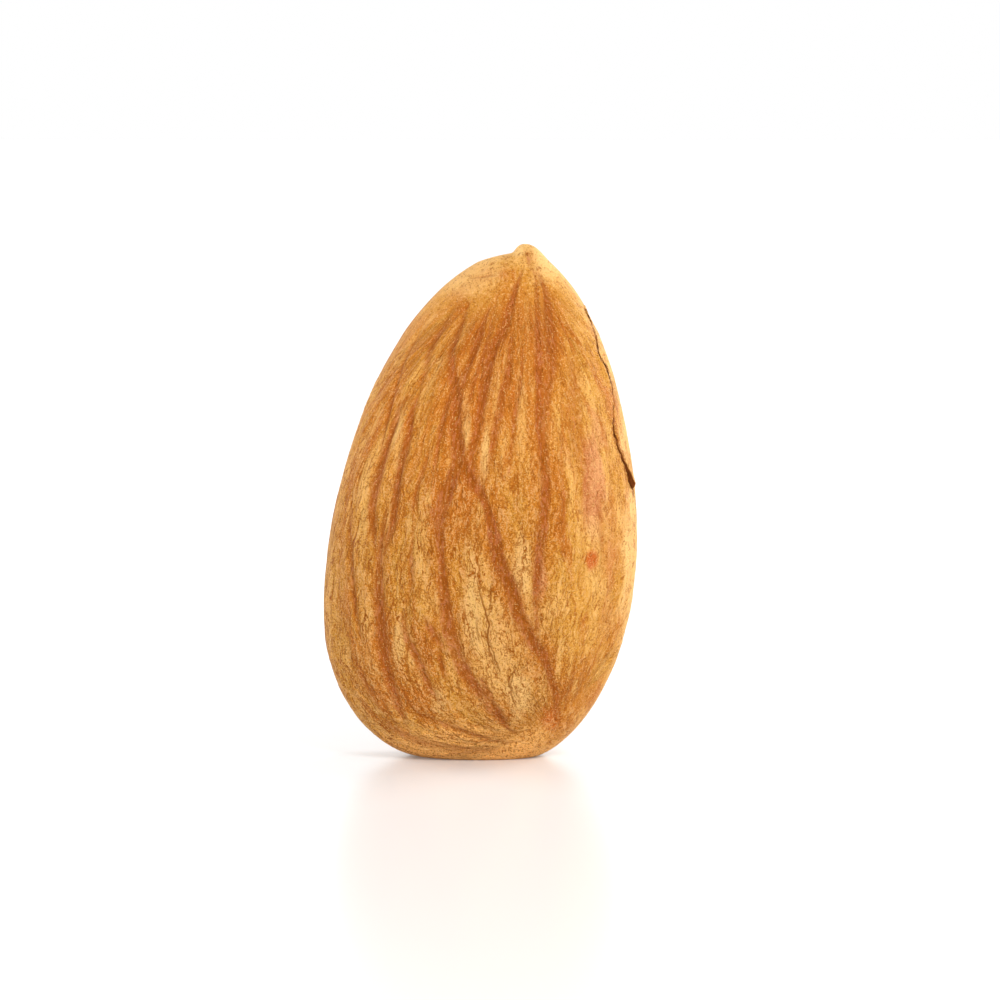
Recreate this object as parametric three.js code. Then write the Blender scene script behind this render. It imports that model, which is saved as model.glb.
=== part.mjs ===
// A shelled almond: one brown-skinned kernel, standing on the small flat spot of its blunt end with its
// pointed tip up. Millimetres, +Z up. Its broad faces look along -Y (front) and +Y (back), its narrow
// edges are on -X and +X, and the origin is under its middle, on the surface that it stands on.
import * as THREE from "three";

// Driving dimensions.
const LENGTH = 24; // from the flat spot to the tip
const WIDTH = 14.7; // from edge to edge, where the kernel is broadest
const FRONT_BULGE = 4.1; // how far the front face stands out from the plane of the edges
const BACK_BULGE = 4.4; // the back face is a little rounder

// The section across the kernel is a superellipse: 2 is an ellipse, and more is boxier.
const SECTION_POWER = 2.15;

// Mesh fineness. The rings crowd towards the flat spot and the tip, where the outline turns fastest.
const RINGS = 48;
const SIDES = 60;
const OUTLINE_STEPS = 120;

// The two edges as seen from the front. Each is a chain of Bezier curves: a start, then two handles and an
// end for each curve. X is in half widths from the middle and height is in lengths, so both follow the
// driving dimensions. The chain goes round the blunt end, up the flank to the shoulder, and over the tip,
// which leans to +X and stands up from the left shoulder as a small nub.
const TIP_X = 0.284;
const SHOULDER = 0.9646;
const LEFT_EDGE = [
  [-0.34, 0],
  [[-0.65, 0], [-1, 0.1], [-1, 0.2875]],
  [[-1, 0.4875], [-0.7, 0.853], [-0.014, SHOULDER]],
  [[0.05, 0.9715], [0.13, 0.9775], [0.19, 0.981]],
  [[0.222, 0.983], [0.222, 1], [TIP_X, 1]],
];
const RIGHT_EDGE = [
  [0.34, 0],
  [[0.485, 0], [1, 0.126], [1, 0.416]],
  [[1, 0.646], [0.779, 0.875], [0.451, SHOULDER]],
  [[0.396, 0.981], [0.355, 1], [TIP_X, 1]],
];

// How far each face stands out at each height, in bulges: fullest at two fifths of the length.
const FACE_SWELL = [
  [0.38, 0],
  [[0.6, 0], [1, 0.17], [1, 0.4]],
  [[1, 0.64], [0.66, 0.86], [0.26, SHOULDER]],
  [[0.15, 0.985], [0.12, 1], [0, 1]],
];

// Turns a chain of curves that only climbs into a function of height.
function profile([start, ...curves], acrossScale) {
  const path = new THREE.Path();
  path.moveTo(start[0] * acrossScale, start[1] * LENGTH);
  for (const curve of curves) {
    path.bezierCurveTo(...curve.flatMap(([across, up]) => [across * acrossScale, up * LENGTH]));
  }
  const points = path.getPoints(OUTLINE_STEPS);
  return (height) => {
    const above = Math.max(1, points.findIndex((point) => point.y >= height));
    const low = points[above - 1];
    const high = points[above];
    const share = THREE.MathUtils.clamp((height - low.y) / (high.y - low.y), 0, 1);
    return THREE.MathUtils.lerp(low.x, high.x, share);
  };
}

// A cosine or sine bent to the section's power.
function bend(value) {
  return Math.sign(value) * Math.abs(value) ** (2 / SECTION_POWER);
}

// The points of one level ring, anticlockwise seen from above, starting at the +X edge.
function ring(height, leftEdge, rightEdge, swell) {
  const left = leftEdge(height);
  const right = rightEdge(height);
  return Array.from({ length: SIDES }, (_, side) => {
    const angle = (2 * Math.PI * side) / SIDES;
    const across = bend(Math.cos(angle)) * (right - left) / 2;
    const bulge = Math.sin(angle) < 0 ? FRONT_BULGE : BACK_BULGE;
    return [(left + right) / 2 + across, bend(Math.sin(angle)) * bulge * swell(height), height];
  });
}

// The whole skin: a flat fan for the spot that it stands on, rings up the body, and a fan at the tip.
function kernelGeometry() {
  const leftEdge = profile(LEFT_EDGE, WIDTH / 2);
  const rightEdge = profile(RIGHT_EDGE, WIDTH / 2);
  const swell = profile(FACE_SWELL, 1);
  const heights = Array.from({ length: RINGS }, (_, i) => (LENGTH * (1 - Math.cos((Math.PI * i) / RINGS))) / 2);
  const flatMiddle = [(leftEdge(0) + rightEdge(0)) / 2, 0, 0];
  const tip = [(TIP_X * WIDTH) / 2, 0, LENGTH];
  const points = [...heights.flatMap((height) => ring(height, leftEdge, rightEdge, swell)), flatMiddle, tip];
  const flatMiddleIndex = RINGS * SIDES;
  const tipIndex = flatMiddleIndex + 1;
  const faces = [];
  for (let side = 0; side < SIDES; side++) {
    const next = (side + 1) % SIDES;
    faces.push(flatMiddleIndex, next, side);
    for (let low = 0; low < (RINGS - 1) * SIDES; low += SIDES) {
      const high = low + SIDES;
      faces.push(low + side, low + next, high + next, low + side, high + next, high + side);
    }
    const top = (RINGS - 1) * SIDES;
    faces.push(top + side, top + next, tipIndex);
  }
  const geometry = new THREE.BufferGeometry();
  geometry.setAttribute("position", new THREE.Float32BufferAttribute(points.flat(), 3));
  geometry.setIndex(faces);
  geometry.computeVertexNormals();
  return geometry;
}

const skin = new THREE.MeshStandardMaterial({ color: 0xcc8641, roughness: 0.62, metalness: 0 });
const almond = new THREE.Mesh(kernelGeometry(), skin);
almond.name = "almond";
almond.position.y = (FRONT_BULGE - BACK_BULGE) / 2; // puts the origin under the middle of the thickness

const part = new THREE.Group();
part.add(almond);

export default part;
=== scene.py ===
"""The looks of a shelled almond: one brown-skinned kernel standing on the flat of its blunt end."""

import math

import bmesh
import bpy
import numpy as np
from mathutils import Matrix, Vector


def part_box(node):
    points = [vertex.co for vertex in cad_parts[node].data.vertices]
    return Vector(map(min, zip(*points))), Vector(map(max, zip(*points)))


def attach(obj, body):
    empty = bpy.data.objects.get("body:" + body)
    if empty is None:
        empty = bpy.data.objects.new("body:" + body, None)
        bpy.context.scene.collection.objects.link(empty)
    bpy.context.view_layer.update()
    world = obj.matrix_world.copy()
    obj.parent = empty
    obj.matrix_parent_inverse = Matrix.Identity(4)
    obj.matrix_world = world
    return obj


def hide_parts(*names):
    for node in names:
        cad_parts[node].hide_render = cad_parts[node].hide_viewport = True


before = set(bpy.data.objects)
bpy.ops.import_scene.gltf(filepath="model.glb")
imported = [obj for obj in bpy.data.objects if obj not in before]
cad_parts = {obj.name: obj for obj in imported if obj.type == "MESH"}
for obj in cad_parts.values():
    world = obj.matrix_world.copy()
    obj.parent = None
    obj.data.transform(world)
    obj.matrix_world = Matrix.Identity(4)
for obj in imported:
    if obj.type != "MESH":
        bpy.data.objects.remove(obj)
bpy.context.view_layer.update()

# THE KERNEL'S BODY
# An almond is one seed, grown as one piece: two flat-sided seed leaves under a thin brown skin. It is broad
# and blunt where it stands, and narrows to a little nub, the root tip, which leans to one side.
MM = 0.001
LOW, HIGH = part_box("almond")
LENGTH = HIGH.z - LOW.z
HALF_WIDTH = (HIGH.x - LOW.x) / 2
THICKNESS = HIGH.y - LOW.y
FRONT_SHARE = 0.482  # the front face is a little flatter than the back one
FRONT_BULGE = THICKNESS * FRONT_SHARE
BACK_BULGE = THICKNESS - FRONT_BULGE
EDGE_PLANE = LOW.y + FRONT_BULGE  # where the two narrow edges lie
SECTION_POWER = 2.15  # 2 is an ellipse, and more is boxier
FRONT, BACK = -1, 1

# Each edge is a chain of Bezier curves, a start and then two handles and an end for each: half widths from
# the middle, and lengths up from the flat spot. The swell of the faces is in bulges.
TIP_X = 0.284
SHOULDER = 0.9646
LEFT_EDGE = [
    (-0.34, 0),
    [(-0.65, 0), (-1, 0.1), (-1, 0.2875)],
    [(-1, 0.4875), (-0.7, 0.853), (-0.014, SHOULDER)],
    [(0.05, 0.9715), (0.13, 0.9775), (0.19, 0.981)],
    [(0.222, 0.983), (0.222, 1), (TIP_X, 1)],
]
RIGHT_EDGE = [
    (0.34, 0),
    [(0.485, 0), (1, 0.126), (1, 0.416)],
    [(1, 0.646), (0.779, 0.875), (0.451, SHOULDER)],
    [(0.396, 0.981), (0.355, 1), (TIP_X, 1)],
]
FACE_SWELL = [
    (0.38, 0),
    [(0.6, 0), (1, 0.17), (1, 0.4)],
    [(1, 0.64), (0.66, 0.86), (0.26, SHOULDER)],
    [(0.15, 0.985), (0.12, 1), (0, 1)],
]


def bezier(start, handles, share):
    """Points of one cubic curve at each share of the way along it."""
    first, second, end = (np.array(handle, float) for handle in handles)
    share = np.asarray(share, float)[..., None]
    rest = 1 - share
    near = rest**3 * np.array(start, float) + 3 * rest**2 * share * first
    return near + 3 * rest * share**2 * second + share**3 * end


def profile(chain, scale):
    """A chain that only climbs, as a function of the height in metres."""
    steps = np.linspace(0, 1, 160)
    runs = [bezier(chain[0], chain[1], steps)]
    for handles in chain[2:]:
        runs.append(bezier(runs[-1][-1], handles, steps[1:]))
    across, up = np.concatenate(runs).T
    return lambda height: np.interp(height, up * LENGTH, across * scale)


left_edge = profile(LEFT_EDGE, HALF_WIDTH)
right_edge = profile(RIGHT_EDGE, HALF_WIDTH)
face_swell = profile(FACE_SWELL, 1)


def bend(value):
    """A cosine or sine bent to the section's power."""
    return np.sign(value) * np.abs(value) ** (2 / SECTION_POWER)


def body_point(angle, height):
    """Points on the plain body. Angle 0 is the +X edge, and a quarter turn back from it the front face."""
    middle = (left_edge(height) + right_edge(height)) / 2
    half = (right_edge(height) - left_edge(height)) / 2
    bulge = np.where(np.sin(angle) < 0, FRONT_BULGE, BACK_BULGE) * face_swell(height)
    across = middle + bend(np.cos(angle)) * half
    return np.stack([across, EDGE_PLANE + bend(np.sin(angle)) * bulge, height + 0 * angle], -1)


def face_angle(across, height, side):
    """The angle at which a face passes a place given by its x and height; side is FRONT or BACK."""
    middle = (left_edge(height) + right_edge(height)) / 2
    half = (right_edge(height) - left_edge(height)) / 2
    offset = np.clip((across - middle) / half, -1, 1)
    return side * np.arccos(np.sign(offset) * np.abs(offset) ** (SECTION_POWER / 2))


# The skin has split along the right shoulder, where the front face turns into the edge. The split runs
# through these places, as x and height in mm, and opens by these widths at these heights.
SPLIT_LINE = [
    (4.8, 21.4), (5.1, 20.5), (5.4, 19.6), (5.5, 18.9), (5.9, 18.2), (6.1, 17.5), (6.2, 16.6), (6.15, 15.7),
    (6.35, 14.7), (6.6, 14.0), (6.84, 13.4), (7.02, 12.8), (7.2, 12.1), (7.3, 11.2),
]
SPLIT_GAPS = [
    (10.9, 0), (11.6, 0.02), (12.2, 0.03), (12.7, 0.16), (13.0, 0.27), (13.3, 0.17), (13.6, 0.06),
    (14.2, 0.06), (14.6, 0.04), (14.9, 0.07), (15.6, 0.05), (16.1, 0.02), (17.6, 0.04), (18.4, 0.05),
    (19.2, 0.04), (20.2, 0.05), (21.2, 0),
]
SPLIT_DEPTH = 0.5 * MM
FULLY_OPEN = 0.04 * MM  # a gap this wide is as deep as the split gets
WALL_SHARES = [0.05, 0.6]  # the shares of the depth at which each wall has points
SPLIT_JAG = 0.06 * MM  # how far the torn line wanders from its course,
SPLIT_JAG_STEPS = [0.31 * MM, 0.14 * MM]  # and how often it turns
GAP_JAG = 0.4  # how much of its width the gap varies by,
GAP_JAG_STEP = 0.15 * MM  # and how often
JAG_SEEDS = [3, 4, 5]  # for the line's two wanders and for the gap
FLAP_LIFT = 0.16 * MM  # the skin on the edge side of the split has curled up
FLAP_REACH = 1.1 * MM
FLAP_FROM, FLAP_TO = 19.5 * MM, 12.85 * MM  # it lifts slowly from the top, and ends in a torn corner
FLAP_CURL = 5  # the higher this power, the later it lifts
FLAP_CORNER = 0.2 * MM
TORN_REACH = 0.32 * MM  # the skin has browned this far from the split

# The fineness of the mesh.
RINGS = 300
FLAT_RINGS = 5  # over the flat spot
FRONT_COLUMNS, BACK_COLUMNS = 205, 107  # the front face, with its own veins, has the finer mesh
SECTION_STEPS = 900  # of the ring outline that the columns are spaced along
MERGE_WITHIN = 0.002 * MM  # joins the walls of the split where it is shut


def jagged(places, size, step, seed):
    """A torn line's wander: straight runs between random places, one step apart."""
    draw = np.random.default_rng(seed)
    knots = np.arange(0, LENGTH + step, step)
    return np.interp(places, knots, draw.uniform(-size, size, len(knots)))


def fall(distance, reach):
    """1 at no distance, easing to 0 at the reach."""
    share = np.clip(1 - distance / reach, 0, 1)
    return share * share * (3 - 2 * share)


split_x, split_z = np.array(SPLIT_LINE[::-1]).T * MM
split_angles = face_angle(split_x, split_z, FRONT)
gap_z, gap_sizes = np.array(SPLIT_GAPS).T * MM


def ring(height):
    """One level ring of the body: its points, and how torn the skin is at each, from 0 where it is whole to
    a half at the lips and 1 inside the split. It runs from the edge-side lip round the back to the front
    lip, and then down one wall of the split and up the other."""
    start = np.interp(height, split_z, split_angles)
    turn = start + np.linspace(0, 2 * math.pi, SECTION_STEPS)
    outline = body_point(turn, np.full(SECTION_STEPS, height))
    run = np.concatenate([[0], np.cumsum(np.linalg.norm(np.diff(outline, axis=0), axis=1))])

    coarse_seed, fine_seed, gap_seed = JAG_SEEDS
    coarse_step, fine_step = SPLIT_JAG_STEPS
    gap = np.interp(height, gap_z, gap_sizes) * (1 + jagged(height, GAP_JAG, GAP_JAG_STEP, gap_seed))
    open_share = min(1, gap / FULLY_OPEN)
    wander = jagged(height, SPLIT_JAG, coarse_step, coarse_seed)
    wander += jagged(height, SPLIT_JAG, fine_step, fine_seed)
    first = wander * open_share + gap / 2
    left = np.interp(math.pi, turn, run)
    last = run[-1] + wander * open_share - gap / 2
    back = np.linspace(first, left, BACK_COLUMNS, endpoint=False)
    places = np.concatenate([back, np.linspace(left, last, FRONT_COLUMNS + 1)])

    # A lip can lie past either end of the outline, so the outline is carried on both ways.
    turns = np.concatenate([turn - 2 * math.pi, turn[1:], turn[1:] + 2 * math.pi])
    runs = np.concatenate([run - run[-1], run[1:], run[1:] + run[-1]])
    points = body_point(np.interp(places, runs, turns), np.full(len(places), height))
    inward = np.array([points[:, 0].mean(), EDGE_PLANE, height]) - points
    inward /= np.linalg.norm(inward, axis=1)[:, None]
    rise = np.clip((FLAP_FROM - height) / (FLAP_FROM - FLAP_TO), 0, 1) ** FLAP_CURL
    rise *= np.clip((height - FLAP_TO) / FLAP_CORNER + 1, 0, 1)
    lift = FLAP_LIFT * rise * fall(places - places[0], FLAP_REACH) ** 2
    points -= inward * lift[:, None]

    down = inward[0] * (SPLIT_DEPTH * open_share)
    front_wall = [points[-1] + down * share for share in WALL_SHARES]
    edge_wall = [points[0] + down * share for share in reversed(WALL_SHARES)]
    walls = [*front_wall, (points[0] + points[-1]) / 2 + down, *edge_wall]
    if open_share == 0:
        walls = [points[0]] * len(walls)
    from_lips = np.minimum(places - places[0], places[-1] - places)
    torn = np.concatenate([fall(from_lips, TORN_REACH) / 2, np.ones(len(walls))]) * open_share
    return np.concatenate([points, walls]), torn


def mesh_object(name, points, faces=(), edges=()):
    """A new object at the origin, with its place in its mesh."""
    data = bpy.data.meshes.new(name)
    data.from_pydata(np.asarray(points).tolist(), edges, faces)
    made = bpy.data.objects.new(name, data)
    bpy.context.scene.collection.objects.link(made)
    return made


def add_numbers(piece, name, values):
    """Keeps one number, or one vector, for each vertex as a named attribute."""
    values = np.asarray(values, np.float32)
    kind, field = ("FLOAT", "value") if values.ndim == 1 else ("FLOAT_VECTOR", "vector")
    piece.data.attributes.new(name, kind, "POINT").data.foreach_set(field, values.ravel())


def kernel_body():
    """Rings up the whole body, closed by smaller rings over the flat spot and by a point at the tip."""
    heights = LENGTH * (1 - np.cos(np.pi * np.arange(RINGS) / RINGS)) / 2
    rows, torn_rows = zip(*(ring(height) for height in heights))
    around = len(rows[0])
    middle = rows[0].mean(0)
    shrinks = [row / FLAT_RINGS for row in range(1, FLAT_RINGS)]
    flats = [middle + (rows[0] - middle) * shrink for shrink in shrinks]
    points = np.concatenate([[middle], *flats, *rows, [body_point(np.float64(0), LENGTH)]])
    torn = np.concatenate([np.zeros(1 + around * len(flats)), *torn_rows, [0]])
    count = len(flats) + len(rows)
    faces = []
    for side in range(around):
        after = (side + 1) % around
        faces.append((0, 1 + after, 1 + side))
        for row in range(count - 1):
            low, high = 1 + row * around, 1 + (row + 1) * around
            faces.append((low + side, low + after, high + after, high + side))
        top = 1 + (count - 1) * around
        faces.append((top + side, top + after, len(points) - 1))
    body = mesh_object("almond_skin", points, faces)
    add_numbers(body, "torn", torn)
    loose = bmesh.new()
    loose.from_mesh(body.data)
    bmesh.ops.remove_doubles(loose, verts=loose.verts, dist=MERGE_WITHIN)
    bmesh.ops.recalc_face_normals(loose, faces=loose.faces)
    loose.to_mesh(body.data)
    loose.free()
    body.data.shade_smooth()
    return body


almond = kernel_body()

# THE VEINS AND WRINKLES
# The skin's veins start at the chalaza, the scar low on the blunt end, spread over both faces and close up
# again at the tip. They dried last and sank, so each one is a soft groove with darker, redder skin in it.
CHALAZA = (3.5, 2.0)
VEINS_MEET = (1.8, 23.2)  # just under the tip
# The course of the veins: handles of the curves from the chalaza to the tip, for the leftmost and the
# rightmost vein. All the others lie between them in step.
FIRST_HANDLES = [(-6.5, -4.0), (6.5, 5.0)]
SECOND_HANDLES = [(-10.5, 12.0), (8.0, 15.0)]
SPREAD = 11.4  # mm between the outer two at half way
RUN = 24.0  # mm along the middle one


def course(across, along):
    """The x and height in mm of a place in the veins' course; each share goes from 0 to 1."""
    across = np.asarray(across, float)[..., None]
    first, second = (
        np.array(leftmost) * (1 - across) + np.array(rightmost) * across
        for leftmost, rightmost in (FIRST_HANDLES, SECOND_HANDLES)
    )
    return bezier(CHALAZA, (first, second, VEINS_MEET), along)


# The front face's veins, one by one: half width and strength, and then the places that it passes, as x and
# height in mm.
FRONT_VEINS = [
    # The main veins, from the left edge to the right one, with their branches.
    (0.15, 0.45, [(-1.2, 21.2), (-1.6, 20.5), (-2.3, 19.2), (-2.6, 18.1), (-2.9, 17.2)]),
    (0.2, 0.6, [(-2.9, 17.3), (-3.7, 16.7), (-4.0, 15.8), (-4.4, 14.6), (-4.7, 13.5), (-5.0, 12.3),
                (-5.0, 10.9), (-4.7, 9.3)]),
    (0.16, 0.75, [(-2.8, 17.3), (-3.2, 16.2), (-3.3, 15.4), (-3.6, 14.2), (-3.9, 12.9), (-4.0, 11.9),
                  (-4.2, 10.8), (-4.6, 9.4)]),
    (0.24, 0.62, [(-4.3, 12.2), (-4.6, 10.4), (-4.7, 8.9), (-4.7, 7.7), (-4.6, 5.9), (-4.4, 4.5),
                  (-3.8, 2.6), (-3.3, 1.3)]),
    (0.15, 0.6, [(-0.5, 21.4), (-0.8, 20.6), (-1.3, 19.2), (-1.3, 18.1), (-1.1, 17.2), (-1.1, 15.6)]),
    (0.19, 1.0, [(-1.3, 19.6), (-1.3, 18.1), (-1.1, 17.2), (-1.1, 15.6), (-1.0, 14.2), (-1.3, 13.3),
                 (-1.8, 12.0), (-1.9, 11.0), (-1.8, 9.7), (-1.7, 8.2)]),
    (0.2, 0.8, [(-1.85, 10.9), (-1.8, 9.6), (-1.7, 8.3), (-1.5, 6.4), (-1.2, 5.5), (-0.8, 4.5),
                (0.2, 3.1), (1.2, 1.7), (1.8, 1.2)]),
    (0.12, 0.7, [(-2.5, 12.2), (-2.2, 11.8), (-1.9, 11.2)]),
    (0.17, 0.85, [(-1.1, 15.4), (-0.9, 14.3), (-0.5, 13.4), (0.1, 12.5), (0.5, 11.6)]),
    (0.13, 0.65, [(0.5, 21.3), (0.2, 20.6), (-0.3, 19.2), (-0.5, 18.6), (-0.8, 17.7), (-1.1, 16.9)]),
    (0.16, 0.8, [(2.0, 23.0), (1.5, 21.5), (1.1, 20.1), (0.6, 19.2), (0.2, 17.7), (0.0, 16.4),
                 (-0.2, 15.3), (-0.4, 14.2), (-0.1, 13.4)]),
    (0.14, 0.6, [(1.6, 20.6), (1.4, 19.2), (1.3, 18.2), (1.0, 17.2), (0.8, 16.1), (0.6, 14.9),
                 (0.4, 14.0), (0.1, 13.3)]),
    (0.2, 1.0, [(-0.1, 13.6), (0.1, 12.7), (0.5, 11.4), (0.8, 9.9), (1.4, 8.3), (1.9, 6.9), (2.6, 5.5),
                (3.0, 4.9), (3.3, 4.0), (3.6, 2.8)]),
    (0.17, 0.8, [(2.3, 23.0), (2.6, 22.4), (2.7, 20.1), (2.8, 16.1), (3.0, 13.8), (3.0, 12.4),
                 (2.8, 10.1), (2.6, 8.3), (2.6, 7.3), (2.7, 5.9), (3.0, 5.0)]),
    (0.19, 0.75, [(2.6, 22.9), (3.1, 21.7), (3.3, 19.5), (3.3, 18.3), (3.1, 17.0), (3.0, 15.4)]),
    (0.4, 0.34, [(3.9, 20.9), (4.3, 19.7), (4.4, 17.8), (4.4, 16.2), (4.5, 15.1), (4.8, 13.7),
                 (4.9, 12.4), (5.0, 10.3)]),
    (0.16, 0.3, [(5.4, 13.8), (5.5, 12.2), (5.7, 10.0), (5.8, 7.7)]),
    # Shorter ones low on the left.
    (0.18, 0.6, [(-3.6, 7.4), (-3.5, 6.1), (-2.9, 4.9), (-2.4, 3.7), (-1.9, 2.8)]),
    (0.17, 0.55, [(-2.6, 7.1), (-2.4, 6.5), (-2.0, 5.9), (-1.5, 5.1)]),
    (0.12, 0.5, [(-1.9, 5.6), (-1.8, 4.8), (-1.6, 3.8)]),
    (0.16, 0.7, [(0.0, 4.2), (0.5, 3.0), (0.9, 2.2), (1.5, 1.4)]),
    # Fine ones between the main veins.
    (0.1, 0.5, [(-2.6, 20.4), (-3.4, 18.9), (-4.0, 17.2), (-4.5, 15.2), (-4.9, 13.2)]),
    (0.1, 0.45, [(-0.1, 20.0), (-0.6, 18.6), (-1.6, 16.6), (-2.0, 14.6), (-2.4, 12.6)]),
    (0.09, 0.5, [(0.9, 22.0), (0.6, 20.9), (0.3, 19.4), (-0.3, 17.6), (-0.6, 15.6)]),
    (0.1, 0.5, [(2.0, 19.9), (1.9, 18.0), (1.6, 16.0), (1.4, 14.2), (1.2, 12.6)]),
    (0.09, 0.4, [(3.8, 18.6), (3.8, 16.4), (3.8, 14.2), (3.9, 11.6), (3.8, 9.2)]),
    (0.12, 0.5, [(-5.9, 13.0), (-6.1, 11.0), (-6.0, 9.0), (-5.8, 7.0), (-5.4, 5.2)]),
    (0.1, 0.45, [(-3.0, 11.4), (-3.2, 9.8), (-3.2, 8.4), (-3.6, 6.8)]),
    (0.1, 0.4, [(-2.2, 14.8), (-2.9, 13.0), (-3.3, 11.2)]),
    # A broad shallow fold near the tip, and the crease of the nub.
    (0.32, 0.4, [(2.9, 22.2), (3.0, 20.1), (3.0, 17.9), (2.9, 15.5)]),
    (0.12, 0.4, [(2.0, 23.8), (2.2, 23.5), (2.3, 23.1), (2.4, 22.8)]),
    # Fine ones that gather at the scar.
    (0.1, 0.5, [(2.3, 5.9), (3.0, 4.6), (3.5, 3.5), (3.7, 2.4), (3.6, 1.2)]),
    (0.09, 0.5, [(3.0, 5.2), (3.3, 4.0), (3.5, 3.0), (3.5, 1.5)]),
    (0.09, 0.4, [(4.4, 5.4), (4.3, 3.9), (4.0, 2.7), (3.7, 1.6)]),
    (0.1, 0.35, [(5.0, 5.0), (4.7, 3.6), (4.2, 2.4)]),
    # Faint lines across, above the flat spot and under the tip.
    (0.12, 0.45, [(-3.7, 2.9), (-2.6, 2.2), (-1.0, 1.5), (1.0, 0.9), (2.4, 1.0)]),
    (0.08, 0.4, [(-0.5, 22.4), (0.0, 22.5), (0.8, 22.6)]),
    (0.24, 0.38, [(-5.4, 2.4), (-4.4, 1.6), (-3.3, 1.0), (-1.4, 0.6), (1.9, 0.5)]),
]

# The back face's veins follow the course by rule: main ones, some with a fork, all wandering a little. Their
# places are shares of the way across and along the course.
BACK_VEINS = 10
BACK_FAN = (-0.12, 1.2)  # where the first one may start, and how wide they spread
BACK_START, BACK_END = (0.03, 0.12), (0.8, 0.97)
BACK_HALF_WIDTH, BACK_STRENGTH = (0.14, 0.3), (0.55, 1)
BACK_KNOTS = 9
BACK_WANDER = 0.016
FORK_EVERY = 2
FORK_KNOTS = slice(3, 8)  # of the vein that it leaves
FORK_SPREAD = 0.13
FORK_HALF_WIDTH, FORK_STRENGTH = 0.14, (0.4, 0.8)
VEIN_SEED = 11

# The fineness of the lines that stand for the veins.
VEIN_STEP = 0.12 * MM
KNOT_STEPS = 14


def smooth_line(knots):
    """A line through the knots, rounded at each one, with points one vein step apart."""
    knots = np.asarray(knots, float)
    padded = np.concatenate([[2 * knots[0] - knots[1]], knots, [2 * knots[-1] - knots[-2]]])
    share = np.linspace(0, 1, KNOT_STEPS, endpoint=False)
    runs = []
    for before, start, end, after in zip(padded, padded[1:], padded[2:], padded[3:]):
        slope_in, slope_out = (end - before) / 6, (after - start) / 6
        runs.append(bezier(start, (start + slope_in, end - slope_out, end), share))
    line = np.concatenate([*runs, knots[-1:]])
    length = np.concatenate([[0], np.cumsum(np.linalg.norm(np.diff(line, axis=0), axis=1))])
    places = np.linspace(0, length[-1], max(3, int(length[-1] / VEIN_STEP)))
    return np.stack([np.interp(places, length, axis) for axis in line.T], -1)


def back_veins():
    """Half width, strength and places of each vein of the back face, as in the front face's list."""
    draw = np.random.default_rng(VEIN_SEED)
    fan_start, fan_width = BACK_FAN
    made = []
    for number in range(BACK_VEINS):
        across = (number + draw.uniform(0.2, 0.8)) / BACK_VEINS * fan_width + fan_start
        along = np.linspace(draw.uniform(*BACK_START), draw.uniform(*BACK_END), BACK_KNOTS)
        wander = across + np.cumsum(draw.normal(0, BACK_WANDER, BACK_KNOTS))
        made.append((draw.uniform(*BACK_HALF_WIDTH), draw.uniform(*BACK_STRENGTH), course(wander, along)))
        if number % FORK_EVERY == 0:
            along, wander = along[FORK_KNOTS], wander[FORK_KNOTS]
            away = np.linspace(0, draw.choice([-FORK_SPREAD, FORK_SPREAD]), len(along))
            made.append((FORK_HALF_WIDTH, draw.uniform(*FORK_STRENGTH), course(wander + away, along)))
    return made


VEIN_MARGIN = 0.05 * MM  # a vein stays this far inside the flat spot and the tip
VEIN_TIP = 0.15  # share of its width and strength that a vein keeps at its ends
TAPER_POWER = 0.45


def vein_paths():
    """Every vein as a line of vertices on the body, each vertex with its vein's number, half width and
    strength. Returns them with the number of veins."""
    points, numbers, widths, strengths, edges = [], [], [], [], []
    listed = [(FRONT, *vein) for vein in FRONT_VEINS] + [(BACK, *vein) for vein in back_veins()]
    for number, (side, half_width, strength, places) in enumerate(listed):
        across, height = smooth_line(np.asarray(places) * MM).T
        height = np.clip(height, VEIN_MARGIN, LENGTH - VEIN_MARGIN)
        share = np.linspace(0, 1, len(across))
        taper = VEIN_TIP + (1 - VEIN_TIP) * np.sin(np.pi * share) ** TAPER_POWER
        edges += [(len(points) + i, len(points) + i + 1) for i in range(len(across) - 1)]
        points += body_point(face_angle(across, height, side), height).tolist()
        numbers += [number] * len(across)
        widths += list(half_width * taper)
        strengths += list(strength * taper)
    paths = mesh_object("vein_paths", points, edges=edges)
    add_numbers(paths, "vein", numbers)
    add_numbers(paths, "half_width", widths)
    add_numbers(paths, "strength", strengths)
    return paths, len(listed)


SHEET_REACH = (-0.4, 1.35)  # past the outermost veins, to cover the whole outline
SHEET_ROWS, SHEET_COLUMNS = 90, 120


def course_sheet():
    """A flat sheet in the plane of the edges that holds, at each place, how far across and along the veins'
    course it is, in mm."""
    rows, columns = np.linspace(*SHEET_REACH, SHEET_ROWS), np.linspace(0, 1, SHEET_COLUMNS)
    across, along = np.meshgrid(rows, columns, indexing="ij")
    spots = course(across, along).reshape(-1, 2) * MM
    points = np.stack([spots[:, 0], np.zeros(len(spots)), spots[:, 1]], -1)
    corners = [0, 1, SHEET_COLUMNS + 1, SHEET_COLUMNS]
    faces = [
        [row * SHEET_COLUMNS + column + corner for corner in corners]
        for row in range(SHEET_ROWS - 1)
        for column in range(SHEET_COLUMNS - 1)
    ]
    sheet = mesh_object("course_sheet", points, faces)
    course_mm = np.stack([across * SPREAD, along * RUN, 0 * along], -1).reshape(-1, 3)
    add_numbers(sheet, "place", course_mm)
    return sheet


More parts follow.
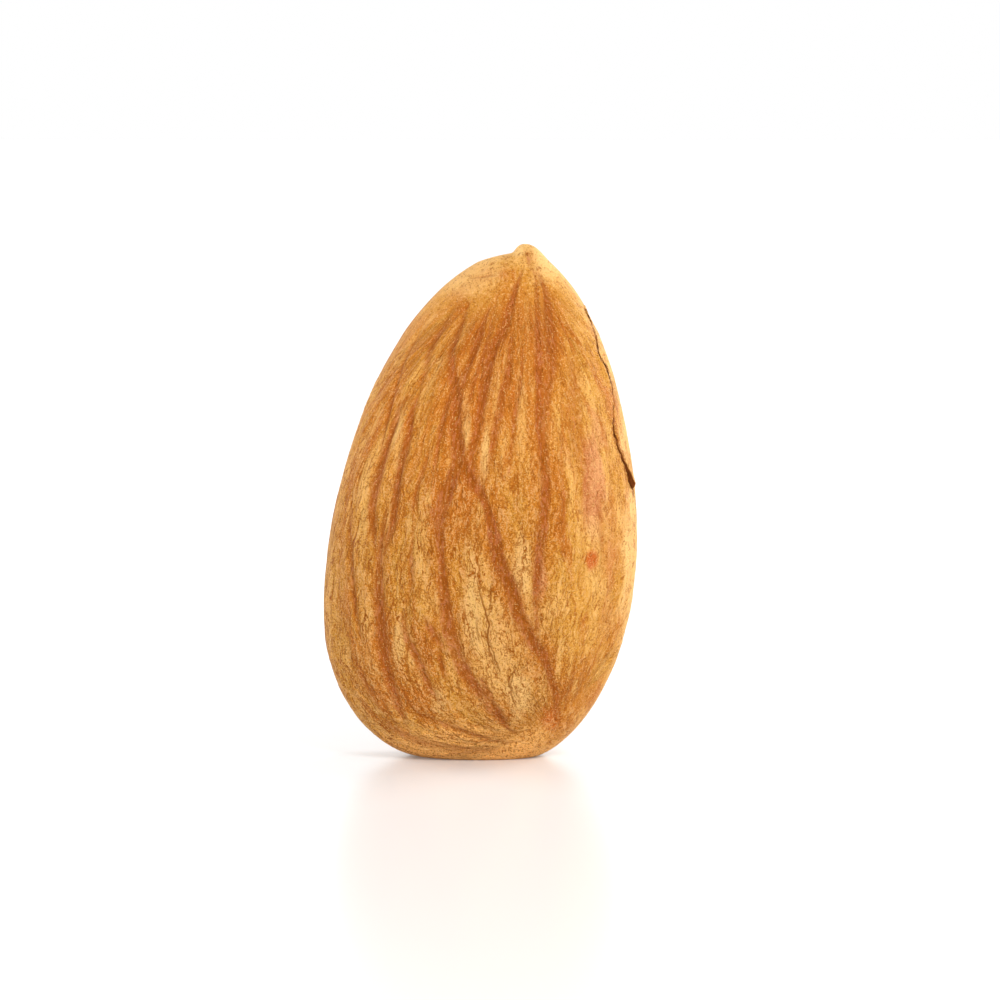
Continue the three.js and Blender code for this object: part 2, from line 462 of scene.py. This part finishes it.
class Wire:
    """A socket of a node tree. Sums on wires add Math nodes, and node() adds any other node."""

    def __init__(self, tree, socket=None):
        self.tree = tree
        self.socket = socket

    def node(self, kind, settings=None, sockets=None, output=0):
        made = self.tree.nodes.new(kind)
        for name, value in (settings or {}).items():
            setattr(made, name, value)
        for name, value in (sockets or {}).items():
            if isinstance(value, Wire):
                self.tree.links.new(value.socket, made.inputs[name])
            else:
                made.inputs[name].default_value = value
        return Wire(self.tree, made.outputs[output])

    def math(self, operation, *terms):
        return self.node("ShaderNodeMath", {"operation": operation}, dict(enumerate(terms)))

    def __add__(self, other):
        return self.math("ADD", self, other)

    def __radd__(self, other):
        return self.math("ADD", other, self)

    def __sub__(self, other):
        return self.math("SUBTRACT", self, other)

    def __rsub__(self, other):
        return self.math("SUBTRACT", other, self)

    def __mul__(self, other):
        return self.math("MULTIPLY", self, other)

    def __rmul__(self, other):
        return self.math("MULTIPLY", other, self)

    def __truediv__(self, other):
        return self.math("DIVIDE", self, other)

    def __pow__(self, other):
        return self.math("POWER", self, other)

    def step(self, start, end):
        """0 before the start, easing to 1 at the end; the end may come first."""
        sockets = {"Value": self, "From Min": start, "From Max": end}
        return self.node("ShaderNodeMapRange", {"interpolation_type": "SMOOTHSTEP"}, sockets)

    def vector(self, operation, *terms, output=0):
        sockets = dict(enumerate((self, *terms)))
        return self.node("ShaderNodeVectorMath", {"operation": operation}, sockets, output)

    def part(self, axis):
        """One coordinate of this place."""
        return self.node("ShaderNodeSeparateXYZ", None, {"Vector": self}, axis)

    def noise(self, stretch, detail=2.0, roughness=0.5, output=0):
        """Noise at this place, stretched; a bigger stretch makes it finer along that axis."""
        place = self.vector("MULTIPLY", stretch)
        sockets = {"Vector": place, "Scale": 1.0, "Detail": detail, "Roughness": roughness}
        return self.node("ShaderNodeTexNoise", {"noise_type": "FBM"}, sockets, output)


GROOVE_DEPTH = 0.3  # mm, of a vein of strength 1
RIB_HEIGHT = 0.3  # mm, of the broad lengthwise ribs
WRINKLE_HEIGHT = 0.12
LUMP_HEIGHT = 0.2
GROOVE_SPREAD = 1.25  # how much further than its half width a groove reaches
GROOVE_FALL, HALO_FALL = 0.7, 1.1  # how fast a groove's depth, and the darker skin round it, die away
GROOVE_JOIN, HALO_JOIN = 0.1, 0.2  # how softly two of them run together
EDGE_WANDER, EDGE_FRAY = 0.35, 0.16  # mm, how ragged a vein's edges are, broadly and finely
FLAT_BLEND = 1.2  # mm above the flat spot over which the relief comes in


def read(wire, name, kind="FLOAT"):
    """A named attribute of the mesh that is being worked on."""
    return wire.node("GeometryNodeInputNamedAttribute", {"data_type": kind}, {"Name": name})


def keep(skin, name, value, kind="FLOAT"):
    """The skin with one more named attribute."""
    settings = {"data_type": kind, "domain": "POINT"}
    sockets = {"Geometry": skin, "Name": name, "Value": value}
    return skin.node("GeometryNodeStoreNamedAttribute", settings, sockets)


def with_flow(skin, course_object, spot, spot_mm):
    """The skin with its place in the veins' course, and its depth through the kernel, as "flow"."""
    sheet = skin.node("GeometryNodeObjectInfo", None, {"Object": course_object}, "Geometry")
    in_sheet = spot.vector("MULTIPLY", (1, 0, 1))
    sockets = {"Mesh": sheet, "Value": read(skin, "place", "FLOAT_VECTOR"), "Sample Position": in_sheet}
    place = skin.node("GeometryNodeSampleNearestSurface", {"data_type": "FLOAT_VECTOR"}, sockets)
    through = skin.node("ShaderNodeCombineXYZ", None, {"Z": spot_mm.part("Y")})
    return keep(skin, "flow", place.vector("ADD", through), "FLOAT_VECTOR")


def with_vein(skin, veins, number, spot, flow):
    """The skin with one more vein in its "groove" and "halo". The vein's nearest point gives the distance,
    half width and strength."""
    ours = skin.math("COMPARE", read(skin, "vein"), number, 0.5)
    sockets = {"Geometry": veins, "Selection": ours}
    vein = skin.node("GeometryNodeSeparateGeometry", {"domain": "POINT"}, sockets)
    sockets = {"Geometry": vein, "Sample Position": spot}
    nearest = skin.node("GeometryNodeSampleNearest", {"domain": "POINT"}, sockets)

    def sampled(value, kind="FLOAT"):
        sockets = {"Geometry": vein, "Value": value, "Index": nearest}
        return skin.node("GeometryNodeSampleIndex", {"data_type": kind, "domain": "POINT"}, sockets)

    strength = sampled(read(skin, "strength"))
    width = sampled(read(skin, "half_width")) * GROOVE_SPREAD
    away = sampled(spot, "FLOAT_VECTOR").vector("DISTANCE", spot, output="Value") / MM
    ragged = (flow.noise((1.6, 0.5, 1.6), 3.0) - 0.5) * EDGE_WANDER
    ragged = ragged + (flow.noise((5, 1.4, 5), 2.0) - 0.5) * EDGE_FRAY
    # The middle of a vein stays true to its line: only its edges are ragged.
    reach = (away + ragged * skin.math("MINIMUM", away * 4, 1)) / width
    depth = skin.math("EXPONENT", reach * reach * -GROOVE_FALL) * strength
    near = away + ragged * 2
    dark = skin.math("EXPONENT", near * near * -HALO_FALL) * strength
    skin = keep(skin, "groove", skin.math("SMOOTH_MAX", read(skin, "groove"), depth, GROOVE_JOIN))
    return keep(skin, "halo", skin.math("SMOOTH_MAX", read(skin, "halo"), dark, HALO_JOIN))


def relief_tree():
    """Sinks the veins into the skin, wrinkles it along their course, and keeps what the finish reads: how
    deep in a vein each place is, where it is in the course, and how far the veins have spread there."""
    tree = bpy.data.node_groups.new("skin_relief", "GeometryNodeTree")
    inputs = [("Skin", "Geometry"), ("Veins", "Object"), ("Course", "Object"), ("Vein count", "Int"),
              ("Groove depth", "Float"), ("Rib height", "Float"), ("Wrinkle height", "Float"),
              ("Lump height", "Float"), ("Finish", "Material")]
    for name, kind in inputs:
        tree.interface.new_socket(name=name, in_out="INPUT", socket_type="NodeSocket" + kind)
    tree.interface.new_socket(name="Skin", in_out="OUTPUT", socket_type="NodeSocketGeometry")
    given = tree.nodes.new("NodeGroupInput")
    value = {name: Wire(tree, given.outputs[name]) for name, _ in inputs}
    skin = value["Skin"]
    spot = skin.node("GeometryNodeInputPosition")
    spot_mm = spot.vector("MULTIPLY", (1 / MM,) * 3)
    skin = with_flow(skin, value["Course"], spot, spot_mm)
    skin = keep(keep(skin, "groove", 0.0), "halo", 0.0)
    flow = read(skin, "flow", "FLOAT_VECTOR")

    # One turn of the loop for each vein.
    enter = tree.nodes.new("GeometryNodeRepeatInput")
    leave = tree.nodes.new("GeometryNodeRepeatOutput")
    enter.pair_with_output(leave)
    tree.links.new(value["Vein count"].socket, enter.inputs["Iterations"])
    tree.links.new(skin.socket, enter.inputs["Geometry"])
    veins = skin.node("GeometryNodeObjectInfo", None, {"Object": value["Veins"]}, "Geometry")
    number = Wire(tree, enter.outputs["Iteration"])
    skin = with_vein(Wire(tree, enter.outputs["Geometry"]), veins, number, spot, flow)
    tree.links.new(skin.socket, leave.inputs["Geometry"])
    skin = Wire(tree, leave.outputs["Geometry"])

    # Ribs and wrinkles run along the course; lumps are the kernel's own unevenness. Where the veins meet
    # and round the narrow edges the skin is smoother.
    normal = skin.node("GeometryNodeInputNormal")
    facing = skin.math("ABSOLUTE", normal.part("Y"))
    along = flow.part("Y")
    spread = along.step(0.02 * RUN, 0.16 * RUN) * along.step(0.98 * RUN, 0.88 * RUN)
    skin = keep(skin, "spread", spread)
    calmer = spread * (0.3 + facing.step(0.1, 0.6) * 0.7)
    ribs = (flow.noise((0.95, 0.16, 0.95), 1.0) - 0.5) * value["Rib height"]
    creased = flow.noise((2.4, 0.7, 2.4), 3.0, 0.55)
    ridges = 1 - skin.math("ABSOLUTE", creased - 0.5) * 5
    wrinkles = (skin.math("MAXIMUM", ridges, 0) * -0.6 + creased - 0.3) * value["Wrinkle height"]
    lumps = (spot_mm.noise((0.22, 0.3, 0.2), 1.0) - 0.5) * value["Lump height"]
    relief = (ribs + wrinkles) * calmer - read(skin, "groove") * value["Groove depth"] + lumps
    shift = relief * spot_mm.part("Z").step(0.0, FLAT_BLEND) * MM
    offset = skin.node("ShaderNodeVectorMath", {"operation": "SCALE"}, {0: normal, "Scale": shift})
    skin = skin.node("GeometryNodeSetPosition", None, {"Geometry": skin, "Offset": offset})
    skin = skin.node("GeometryNodeRealizeInstances", None, {"Geometry": skin})
    skin = skin.node("GeometryNodeSetMaterial", None, {"Geometry": skin, "Material": value["Finish"]})
    out = tree.nodes.new("NodeGroupOutput")
    tree.links.new(skin.socket, out.inputs["Skin"])
    return tree


# THE SKIN'S FINISH
# Papery brown skin, dull, with a powdery scurf: streaks of straw, honey and amber, and chestnut in the
# veins. Every streak and wrinkle runs along the veins' course, and a few dry cracks climb the lower face.


def shade(red, green, blue):
    """A colour as a paint chart gives it, out of 255, turned into the renderer's linear one."""
    parts = [part / 255 for part in (red, green, blue)]
    return (*(part / 12.92 if part <= 0.04045 else ((part + 0.055) / 1.055) ** 2.4 for part in parts), 1)


# The skin itself, from its palest to its darkest.
PALE = shade(248, 200, 124)
ISLAND = shade(236, 188, 112)
STRAW = shade(232, 174, 90)
OCHRE = shade(209, 147, 56)
HONEY = shade(200, 123, 33)
AMBER = shade(184, 96, 16)
CHESTNUT = shade(166, 84, 22)

# Its fine wrinkles, the cracks and the split. The wrinkles' crests get a painted highlight, and their pits
# get painted shade in a dark brown that also draws fine lines. The inside of the split is painted shade.
PAINTED_CREST_HIGHLIGHT = shade(234, 177, 114)
DARK_BROWN_AND_PAINTED_SHADE = shade(158, 82, 0)
RUST = shade(140, 74, 0)
PAINTED_SPLIT_SHADE = shade(118, 56, 2)

# Its stains: orange spots, a pinkish frost that is partly a painted sheen, and a warm pale orange that is
# painted light thrown up from the table.
ORANGE = shade(196, 92, 10)
PINK_FROST_AND_SHEEN = shade(208, 132, 88)
PAINTED_BOUNCE_LIGHT = shade(255, 186, 100)

# Stains on the front face, and patches of painted light and shade among them, the later over the earlier:
# colour, share, x and height of the middle, half width and half height, in mm.
STAINS_AND_PAINTED_LIGHT = [
    (PALE, 0.2, 5.6, 11.0, 1.0, 5.0),
    (PALE, 0.5, 5.2, 10.9, 0.4, 0.7),
    (ORANGE, 1.0, 5.1, 9.6, 0.35, 0.45),
    (ORANGE, 0.7, 3.3, 2.1, 0.5, 0.7),
    # Pinkish frost, partly a painted sheen, on the right flank and in a vein.
    (PINK_FROST_AND_SHEEN, 0.75, 5.2, 13.0, 0.6, 3.0),
    (PINK_FROST_AND_SHEEN, 0.6, 2.75, 9.0, 0.3, 1.2),
    (PALE, 0.6, 1.9, 9.2, 0.5, 1.4),
    (PALE, 0.55, 0.6, 5.2, 0.9, 2.4),
    (PALE, 0.55, -0.6, 22.7, 1.6, 1.1),
    (PALE, 0.6, 3.0, 23.0, 0.7, 0.9),
    (PALE, 0.6, 1.8, 23.75, 0.35, 0.35),
    (PALE, 0.65, 7.0, 10.9, 0.45, 2.2),
    (PALE, 0.5, 6.9, 7.5, 0.4, 3.0),
    (PALE, 0.6, 6.7, 15.2, 0.25, 1.4),
    (DARK_BROWN_AND_PAINTED_SHADE, 0.6, 6.35, 17.6, 0.22, 1.2),
    (AMBER, 0.5, 0.5, 17.5, 3.4, 4.5),
    # Painted light: the foot is made paler and warmer, as if lit by the white table below it.
    (PAINTED_BOUNCE_LIGHT, 0.9, -0.8, 0.2, 5.0, 1.7),
    # Darker amber skin low on the left, deepened as painted shade on the side turned away from the key
    # light.
    (AMBER, 0.6, -3.2, 3.0, 1.9, 1.0),
    (AMBER, 0.5, -5.0, 4.4, 1.3, 2.4),
    (STRAW, 0.5, 1.0, 4.5, 2.0, 3.2),
    (ISLAND, 0.6, -3.75, 5.6, 0.3, 1.3),
    (ISLAND, 0.7, -0.4, 7.2, 0.5, 2.4),
    (PALE, 0.7, 1.8, 3.3, 0.6, 1.2),
    (ISLAND, 0.5, -1.9, 3.0, 0.35, 0.9),
    (ISLAND, 0.7, 0.25, 14.5, 0.2, 1.3),
    (ISLAND, 0.45, -0.6, 15.9, 0.2, 1.2),
    (STRAW, 0.5, 0.8, 17.0, 0.25, 1.6),
    (ISLAND, 0.4, -3.8, 15.2, 0.25, 1.6),
    (STRAW, 0.5, 1.9, 16.0, 0.25, 2.4),
    (STRAW, 0.6, -5.4, 12.6, 0.3, 2.0),
    (STRAW, 0.6, -2.7, 10.2, 0.35, 2.2),
]
# Dry cracks in the lower face: how dark, and then x and height in mm from the foot up.
CRACKS = [
    (0.9, [(0.83, 4.4), (0.65, 4.8), (0.42, 5.4), (0.37, 6.8), (0.19, 7.4), (-0.18, 8.8)]),
    (0.6, [(0.37, 7.0), (0.51, 7.9), (0.56, 8.7)]),
    (0.8, [(1.57, 3.3), (1.34, 3.7), (1.29, 4.0), (1.57, 4.4), (1.66, 4.7)]),
    (0.5, [(0.0, 5.7), (-0.09, 6.0), (-0.13, 7.0)]),
    (0.5, [(2.77, 2.5), (2.49, 3.1), (2.31, 3.4)]),
    (0.4, [(3.18, 5.9), (3.32, 6.6), (3.41, 7.3)]),
    (0.6, [(0.98, 4.1), (0.83, 4.6), (0.55, 5.4), (0.4, 6.2)]),
    (0.7, [(1.72, 2.6), (1.5, 3.1), (1.42, 3.6), (1.5, 4.2)]),
    (0.5, [(-0.6, 4.9), (-0.83, 5.6), (-0.95, 6.4), (-1.0, 7.2)]),
    (0.45, [(-3.0, 3.3), (-3.3, 4.3), (-3.35, 5.3), (-3.2, 6.2)]),
    (0.4, [(-5.9, 4.6), (-6.05, 5.8), (-5.95, 7.2)]),
    (0.4, [(-3.17, 6.5), (-3.26, 7.2), (-3.12, 7.8)]),
]
CRACK_WIDTH = 0.05  # mm, half of it
CRACK_SPAN = 16  # mm, and no crack lies further from the middle than half of it
PATCH_FRAY = 1.6  # how ragged the stains and the painted patches are, in shares of their size
ROUGHNESS = 0.6
SPECULAR = 0.16  # the skin is nearly dull
WRINKLE_BUMP = 0.27  # mm, of the finest wrinkles


def read_shader(wire, name, output="Fac"):
    """A named attribute of the mesh that the material is on."""
    return wire.node("ShaderNodeAttribute", {"attribute_name": name}, None, output)


def mix(share, first, second):
    """Of two colours, the second at this share."""
    settings = {"data_type": "RGBA", "clamp_factor": True}
    return share.node("ShaderNodeMix", settings, {0: share, 6: first, 7: second}, 2)


def blend(share, first, second):
    """Of two numbers, the second at this share."""
    return first + (second - first) * share


def crack_lines(across, up):
    """How dark the dry cracks make each place. A curve gives each crack's x at every height."""
    cracks = 0.0
    for darkness, line in CRACKS:
        foot, head = line[0][1], line[-1][1]
        rise = (up - foot) / (head - foot)
        curve = up.node("ShaderNodeFloatCurve", None, {"Value": rise})
        mapping = curve.socket.node.mapping
        points = mapping.curves[0].points
        for x, z in line:
            knot = ((z - foot) / (head - foot), x / CRACK_SPAN + 0.5)
            if z == foot:
                points[0].location = knot
            elif z == head:
                points[-1].location = knot
            else:
                points.new(*knot)
        mapping.update()
        away = up.math("ABSOLUTE", across - (curve - 0.5) * CRACK_SPAN)
        ends = up.math("MAXIMUM", rise * (1 - rise) * 4, 0) ** 0.4
        cracks = up.math("MAXIMUM", (away / CRACK_WIDTH).step(1.4, 0.4) * ends * darkness, cracks)
    return cracks


def with_stains_and_painted_light(colour, spot, wave, front):
    """The colour with the front face's stains and patches of painted light and shade on it."""
    ragged = (wave.noise((1.5, 0.6, 1.5), 2.0) - 0.5) * PATCH_FRAY
    for patch_colour, share, x, z, half_width, half_height in STAINS_AND_PAINTED_LIGHT:
        away = spot.vector("SUBTRACT", (x, 0, z)).vector("MULTIPLY", (1 / half_width, 0, 1 / half_height))
        inside = (away.vector("LENGTH", output="Value") + ragged).step(1.3, 0.4)
        colour = mix(inside * front * share, colour, patch_colour)
    return colour


def skin_finish():
    """The skin's material, in mm on the kernel or along the veins' course."""
    material = bpy.data.materials.new("brown_skin")
    material.use_nodes = True
    tree = material.node_tree
    tree.nodes.clear()
    start = Wire(tree)
    flow = read_shader(start, "flow", "Vector")
    groove, halo, spread, tear = (read_shader(start, name) for name in ("groove", "halo", "spread", "torn"))
    spot = start.node("ShaderNodeTexCoord", None, None, "Object").vector("MULTIPLY", (1 / MM,) * 3)
    across, depth, up = (spot.part(axis) for axis in "XYZ")
    front = depth.step(0.3, -0.3)

    # The sway makes the streaks wander a little, and the jitter frays them.
    half = (0.5, 0.5, 0.5)
    sway = flow.noise((0.8, 0.5, 0.8), 2.0, output="Color").vector("SUBTRACT", half)
    wave = flow.vector("ADD", sway.vector("MULTIPLY", (0.8, 1.6, 0.8)))
    jitter = flow.noise((3, 2.2, 3), 2.0, output="Color").vector("SUBTRACT", half)
    frayed = wave.vector("ADD", jitter.vector("MULTIPLY", (0.28, 0.3, 0.28)))

    # The pattern, from broad to fine. Where the veins meet, it loses its direction.
    patches = spot.noise((0.28, 0.3, 0.16), 2.0)
    bands = blend(spread, spot.noise((1, 1, 0.6), 3.0, 0.55), wave.noise((1.3, 0.26, 1.3), 3.0, 0.55)) - 0.5
    folds = blend(spread, spot.noise((3, 3, 2), 3.0, 0.6), frayed.noise((3.2, 1.1, 3.2), 3.0, 0.65)) - 0.5
    crinkles = blend(spread, spot.noise((7, 7, 5), 2.0, 0.6), frayed.noise((7.5, 2.3, 7.5), 2.0, 0.65)) - 0.5
    grain = spot.noise((15, 15, 13), 1.0, 0.6) - 0.5
    specks = spot.noise((13, 13, 13), 0.0).step(0.62, 0.8)
    streaks = wave.noise((3.0, 0.16, 3.0), 2.0).step(0.54, 0.68) * spread * (0.45 + up.step(9, 15) * 0.55)
    fibres = (wave.noise((8, 3, 8), 2.0) - 0.5) * groove.step(0.05, 0.5)
    worn = 0.55 + flow.noise((1.3, 0.35, 1.3), 2.0).step(0.35, 0.6) * 0.3
    crumbs = spot.noise((9, 9, 6), 2.0).step(0.42, 0.58)

    # The skin is rougher low down and to the left, and smoother high up and to the right. A net of
    # hair lines covers it in places, but not in the veins.
    rugged = 0.65 + up.step(17, 9) * across.step(5.0, 2.5) * 0.4
    net = start.math("ABSOLUTE", frayed.noise((3.2, 0.42, 3.2), 2.0, 0.4) - 0.5).step(0.032, 0.0) * rugged
    net = net * flow.noise((0.9, 0.5, 0.9), 1.0).step(0.34, 0.5) * spread * (1 - groove.step(0.1, 0.4))
    cracks = crack_lines(spot.vector("ADD", jitter.vector("MULTIPLY", (0.2, 0, 0))).part("X"), up) * front
    height = (folds * 0.38 + crinkles * 0.6 + grain * 0.55) * rugged + fibres * 0.2

    # The narrow edges are paler: partly paler skin along the seams, and partly a painted rim light,
    # strongest on the right, the side the key and a rim light come from.
    edge = start.math("ABSOLUTE", depth - EDGE_PLANE / MM).step(1.3, 0.3) * (0.4 + across.step(-1, 1) * 0.6)

    # The colours, laid one over the other from the ground up.
    colour = mix(halo.step(0.1, 0.75), OCHRE, HONEY)
    colour = mix(patches.step(0.5, 0.68) * 0.5, colour, AMBER)
    colour = mix(bands.step(0.0, 0.16) * 0.8 * (1 - halo.step(0.2, 1.0) * 0.4), colour, STRAW)
    colour = mix(bands.step(-0.03, -0.2) * 0.7, colour, AMBER)
    colour = with_stains_and_painted_light(colour, spot, wave, front)
    # Paler edges: partly paler skin, partly a painted rim light.
    colour = mix(edge * 0.6, colour, PALE)
    colour = mix(streaks * 0.5, colour, AMBER)
    # Painted light and shade from the wrinkles' height: a painted highlight on the crests and painted shade
    # in the pits.
    colour = mix(height.step(0.0, 0.12) * 0.5, colour, PAINTED_CREST_HIGHLIGHT)
    colour = mix(height.step(0.0, -0.12) * 0.72, colour, DARK_BROWN_AND_PAINTED_SHADE)
    colour = mix(net, colour, DARK_BROWN_AND_PAINTED_SHADE)
    colour = mix(groove.step(0.08, 0.6) * worn, colour, CHESTNUT)
    # Painted shade in the hollows of the veins' fibres and along the deepest middle of each vein.
    colour = mix(fibres.step(0.0, -0.12) * 0.5 + groove.step(0.6, 0.9) * 0.4, colour, DARK_BROWN_AND_PAINTED_SHADE)
    # Pinkish frost on the tops of the veins' fibres, partly a painted sheen.
    colour = mix(fibres.step(0.02, 0.14) * 0.35, colour, PINK_FROST_AND_SHEEN)
    colour = mix(specks * 0.4, colour, PALE)
    colour = mix(cracks, colour, RUST)
    colour = mix(tear.step(0.05, 0.45) * crumbs * 0.8, colour, RUST)
    # Painted shade: the inside of the split is dark brown, though the kernel under the skin is pale.
    colour = mix(tear.step(0.5, 0.75), colour, PAINTED_SPLIT_SHADE)

    wrinkled = {"Strength": 1.0, "Distance": MM, "Height": height * WRINKLE_BUMP}
    sockets = {
        "Base Color": colour,
        "Roughness": ROUGHNESS + height * 0.5,
        "Normal": start.node("ShaderNodeBump", None, wrinkled),
        "Specular IOR Level": SPECULAR,
    }
    shader = start.node("ShaderNodeBsdfPrincipled", None, sockets)
    out = tree.nodes.new("ShaderNodeOutputMaterial")
    tree.links.new(shader.socket, out.inputs["Surface"])
    return material


def add_relief(body, finish):
    """Runs the relief tree on the body, and leaves a plain mesh."""
    paths, count = vein_paths()
    sheet = course_sheet()
    modifier = body.modifiers.new("relief", "NODES")
    modifier.node_group = relief_tree()
    given = {"Veins": paths, "Course": sheet, "Vein count": count, "Groove depth": GROOVE_DEPTH,
             "Rib height": RIB_HEIGHT, "Wrinkle height": WRINKLE_HEIGHT, "Lump height": LUMP_HEIGHT,
             "Finish": finish}
    for item in modifier.node_group.interface.items_tree:
        if item.in_out == "INPUT" and item.name in given:
            modifier[item.identifier] = given[item.name]
    bpy.context.view_layer.update()
    graph = bpy.context.evaluated_depsgraph_get()
    plain = bpy.data.meshes.new_from_object(body.evaluated_get(graph))
    body.modifiers.remove(modifier)
    body.data = plain
    for helper in (paths, sheet):
        bpy.data.objects.remove(helper)


add_relief(almond, skin_finish())
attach(almond, "root")
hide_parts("almond")

# THE STAGE
# A glossy white table that glows a little, a white room, and four soft boxes: a key from the right and
# above, a weak one in front, and two behind the kernel that light its rims.
CAMERA_DISTANCE = 0.23
CAMERA_RISE = math.radians(5)
FRAME_WIDTH = 46.7 * MM
SENSOR = 36.0
AIM = Vector((0.92 * MM, 0, LENGTH / 2))
TABLE_HALF = 2.0  # metres
TABLE_GREY = (0.8, 0.8, 0.8, 1)
TABLE_ROUGHNESS = 0.25
TABLE_IOR = 1.75
NEAR_GLOW, FAR_GLOW = 0.08, 0.42  # of the table, from close to the kernel out to where it stays even
GLOW_REACH = (0.02, 0.3)  # metres from the kernel
ROOM_LIGHT = 0.45
WHITE = (1, 1, 1, 1)


def white_gloss():
    """The table's material. The light of the soft boxes falls away with distance, so the table glows a
    little more further out, to stay white."""
    material = bpy.data.materials.new("white_gloss")
    material.use_nodes = True
    tree = material.node_tree
    shader = tree.nodes["Principled BSDF"]
    place = Wire(tree).node("ShaderNodeTexCoord", None, None, "Object")
    glow = place.vector("LENGTH", output="Value").step(*GLOW_REACH) * (FAR_GLOW - NEAR_GLOW) + NEAR_GLOW
    tint = glow.node("ShaderNodeCombineColor", None, {"Red": glow, "Green": glow, "Blue": glow})
    tree.links.new(tint.socket, shader.inputs["Emission Color"])
    shader.inputs["Emission Strength"].default_value = 1.0
    shader.inputs["Base Color"].default_value = TABLE_GREY
    shader.inputs["Roughness"].default_value = TABLE_ROUGHNESS
    shader.inputs["IOR"].default_value = TABLE_IOR
    return material


def table_top():
    half = TABLE_HALF
    corners = [(-half, -half, 0), (half, -half, 0), (half, half, 0), (-half, half, 0)]
    top = mesh_object("table_top", corners, [(0, 1, 2, 3)])
    top.data.materials.append(white_gloss())
    return top


def soft_box(name, place, size, power):
    """A square area light aimed at the middle of the kernel. The place and size are in mm."""
    data = bpy.data.lights.new(name, "AREA")
    data.size = size * MM
    data.energy = power
    box = bpy.data.objects.new(name, data)
    box.location = Vector(place) * MM
    box.rotation_euler = (AIM - box.location).to_track_quat("-Z", "Y").to_euler()
    bpy.context.scene.collection.objects.link(box)


table_top()
soft_box("key", (110, -200, 210), 120, 0.54)
soft_box("front_fill", (-20, -210, 35), 120, 0.19)
soft_box("right_rim", (160, 110, 90), 110, 0.4)
soft_box("left_rim", (-170, 110, 110), 110, 0.3)

# The room looks white, to the camera and in the table's gloss, but lights the kernel less than it shows, so
# that the soft boxes model its relief.
world = bpy.data.worlds.new("white_room")
world.use_nodes = True
background = world.node_tree.nodes["Background"]
background.inputs["Color"].default_value = WHITE
room = Wire(world.node_tree)
seen = room.node("ShaderNodeLightPath", None, None, "Is Camera Ray")
mirrored = room.node("ShaderNodeLightPath", None, None, "Is Glossy Ray")
strength = room.math("MAXIMUM", seen, mirrored) * (1 - ROOM_LIGHT) + ROOM_LIGHT
world.node_tree.links.new(strength.socket, background.inputs["Strength"])
bpy.context.scene.world = world
bpy.context.scene.view_settings.view_transform = "Standard"

camera = bpy.data.objects.new("camera", bpy.data.cameras.new("camera"))
camera.data.sensor_width = SENSOR
camera.data.lens = SENSOR * CAMERA_DISTANCE / FRAME_WIDTH
camera.data.clip_start = 0.01
camera.location = AIM + CAMERA_DISTANCE * Vector((0, -math.cos(CAMERA_RISE), math.sin(CAMERA_RISE)))
camera.rotation_euler = (math.pi / 2 - CAMERA_RISE, 0, 0)
bpy.context.scene.collection.objects.link(camera)
bpy.context.scene.camera = camera
